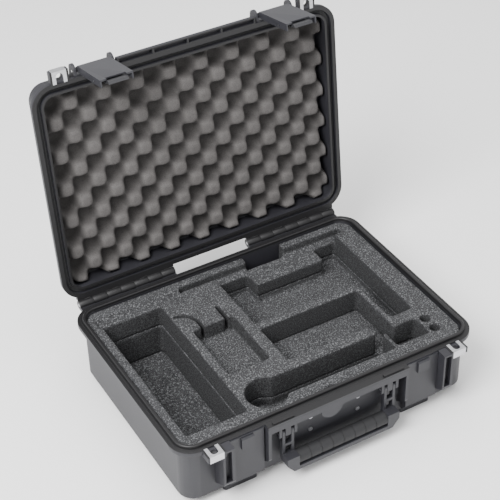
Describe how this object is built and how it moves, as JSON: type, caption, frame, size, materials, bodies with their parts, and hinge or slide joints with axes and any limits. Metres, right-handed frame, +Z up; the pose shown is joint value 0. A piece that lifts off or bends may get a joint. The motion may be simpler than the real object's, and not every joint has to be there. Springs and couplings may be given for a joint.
{
  "type": "hard drone carrying case",
  "caption": "Open hard carrying case with cut foam wells for a drone and its controller, egg-crate lid foam, trigger latches, padlock points and a fold-down ribbed handle.",
  "frame": {"origin": "centre of the underside of the centre rest pad, in the table plane, midway between the base's walls", "axes": "+X to the right as seen from the handle side, +Y from the handle side to the hinges, +Z up"},
  "size_m": [0.5, 0.4722, 0.5071],
  "materials": {
    "shell": "fine moulded grain",
    "latch_plastic": "satin moulded",
    "trigger_plastic": "satin moulded",
    "handle_plastic": "satin moulded",
    "grip_rubber": "matt over-moulded",
    "seal_rubber": "matt",
    "steel": "ground",
    "spring_steel": "drawn wire",
    "screw_steel": "plated",
    "plate_steel": "polished sheet",
    "foam_dark": "dark flecked foam",
    "foam_grey": "grey convoluted foam"
  },
  "bodies": {
    "base": {"base_shell": "shell", "hinge_pins": "steel", "handle_bracket": "handle_plastic", "bracket_screws": "screw_steel", "handle_pins": "steel", "lock_plates_base": "plate_steel", "foam_pad": "foam_dark", "foam_lower": "foam_dark", "foam_upper": "foam_dark"},
    "lid": {"lid_shell": "shell", "gasket": "seal_rubber", "latch_pins": "steel", "lock_plates_lid": "plate_steel", "foam_lid": "foam_grey"},
    "left_latch": {"latch_left": "latch_plastic", "trigger_pin_left": "steel", "trigger_spring_left": "spring_steel"},
    "right_latch": {"latch_right": "latch_plastic", "trigger_pin_right": "steel", "trigger_spring_right": "spring_steel"},
    "left_trigger": {"trigger_left": "trigger_plastic"},
    "right_trigger": {"trigger_right": "trigger_plastic"},
    "handle": {"handle_frame": "handle_plastic", "handle_grip": "grip_rubber"}
  },
  "joints": [
    {"name": "lid_hinge", "type": "hinge", "parent": "base", "child": "lid", "pos_m": [0, 0.189, 0.113], "axis": [1, 0, 0], "range_deg": [0, 96]},
    {"name": "latch_left_pivot", "type": "hinge", "parent": "lid", "child": "left_latch", "pos_m": [-0.1475, 0.23941, 0.48256], "axis": [-1, 0, 0], "range_deg": [-5, 95]},
    {"name": "latch_right_pivot", "type": "hinge", "parent": "lid", "child": "right_latch", "pos_m": [0.1475, 0.23941, 0.48256], "axis": [-1, 0, 0], "range_deg": [-5, 95]},
    {"name": "trigger_left_pivot", "type": "hinge", "parent": "left_latch", "child": "left_trigger", "pos_m": [-0.1475, 0.17911, 0.49468], "axis": [1, 0, 0], "range_deg": [0, 7], "stiffness_Nm_per_rad": 0.05, "springref_deg": -11.46},
    {"name": "trigger_right_pivot", "type": "hinge", "parent": "right_latch", "child": "right_trigger", "pos_m": [0.1475, 0.17911, 0.49468], "axis": [1, 0, 0], "range_deg": [0, 7], "stiffness_Nm_per_rad": 0.05, "springref_deg": -11.46},
    {"name": "handle_hinge", "type": "hinge", "parent": "base", "child": "handle", "pos_m": [0, -0.183, 0.089], "axis": [-1, 0, 0], "range_deg": [0, 100]}
  ]
}
